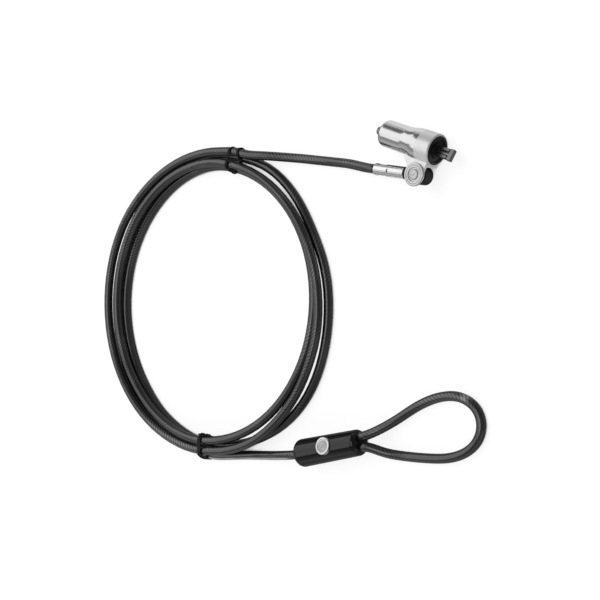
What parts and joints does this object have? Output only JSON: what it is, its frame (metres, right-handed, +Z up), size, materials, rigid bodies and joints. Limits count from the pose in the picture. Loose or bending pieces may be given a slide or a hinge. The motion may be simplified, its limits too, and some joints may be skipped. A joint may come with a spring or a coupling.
{
  "type": "laptop cable lock",
  "caption": "Keyed laptop lock head on a hinged swivel, with a coiled steel security cable tied in two places and a sleeved anchor loop at the far end.",
  "frame": {"origin": "on the surface the lock lies on, under the middle of the lock head's box (the head without the cable and what is on it)", "axes": "+X along the lock barrel towards the locking tip, +Z up off the surface, +Y away from the hinge"},
  "size_m": [0.2254, 0.1768, 0.0132],
  "materials": {
    "silver_casing": "fine satin nickel plate over a die-cast casing",
    "key_collar": "dark hardened key collar",
    "core_brass": "plain turned brass",
    "pin_steel": "plain turned steel",
    "tip_steel": "dark hardened steel",
    "pad_rubber": "smooth black rubber",
    "hinge_steel": "plain steel",
    "block_black": "semi-gloss black coating",
    "ferrule_metal": "bright drawn metal",
    "cable_jacket": "clear jacket over a dark twisted steel cable",
    "sleeve_plastic": "gloss black plastic",
    "crimp_aluminium": "plain aluminium tube, pressed",
    "badge_metal": "satin silver disc",
    "tie_plastic": "black plastic-coated wire tie"
  },
  "bodies": {
    "cable": {"cable_ferrule": "ferrule_metal", "swivel_stud": "hinge_steel", "cable_lead": "cable_jacket", "cable_coil": "cable_jacket", "cable_tail": "cable_jacket", "cable_loop": "cable_jacket", "cable_legs": "cable_jacket", "loop_sleeve": "sleeve_plastic", "loop_crimp": "crimp_aluminium", "sleeve_badge": "badge_metal", "tie_top": "tie_plastic", "tie_bottom": "tie_plastic"},
    "swivel": {"pivot_block": "block_black", "swivel_retainer": "block_black"},
    "head": {"lock_casing": "silver_casing", "key_collar": "key_collar", "pin_block": "core_brass", "block_screw": "pin_steel", "driver_pins": "pin_steel", "pin_springs": "pin_steel", "guide_plate": "tip_steel", "nose_pad": "pad_rubber", "hinge_pin": "hinge_steel", "hinge_cap": "silver_casing", "hinge_washers": "hinge_steel"},
    "lock_core": {"lock_spindle": "pin_steel", "key_pins": "pin_steel", "locking_tip": "tip_steel", "tip_pin": "pin_steel"}
  },
  "joints": [
    {"name": "cable_swivel", "type": "hinge", "parent": "cable", "child": "swivel", "pos_m": [0.0068, -0.0066, 0.0055], "axis": [-0.9848, -0.1736, 0], "continuous": true},
    {"name": "head_pivot", "type": "hinge", "parent": "swivel", "child": "head", "pos_m": [0.0068, -0.0066, 0.0055], "axis": [0, 0, 1], "range_deg": [-150, 10]},
    {"name": "key_turn", "type": "hinge", "parent": "head", "child": "lock_core", "pos_m": [0, 0.0047, 0.0066], "axis": [1, 0, 0], "range_deg": [0, 90]}
  ]
}
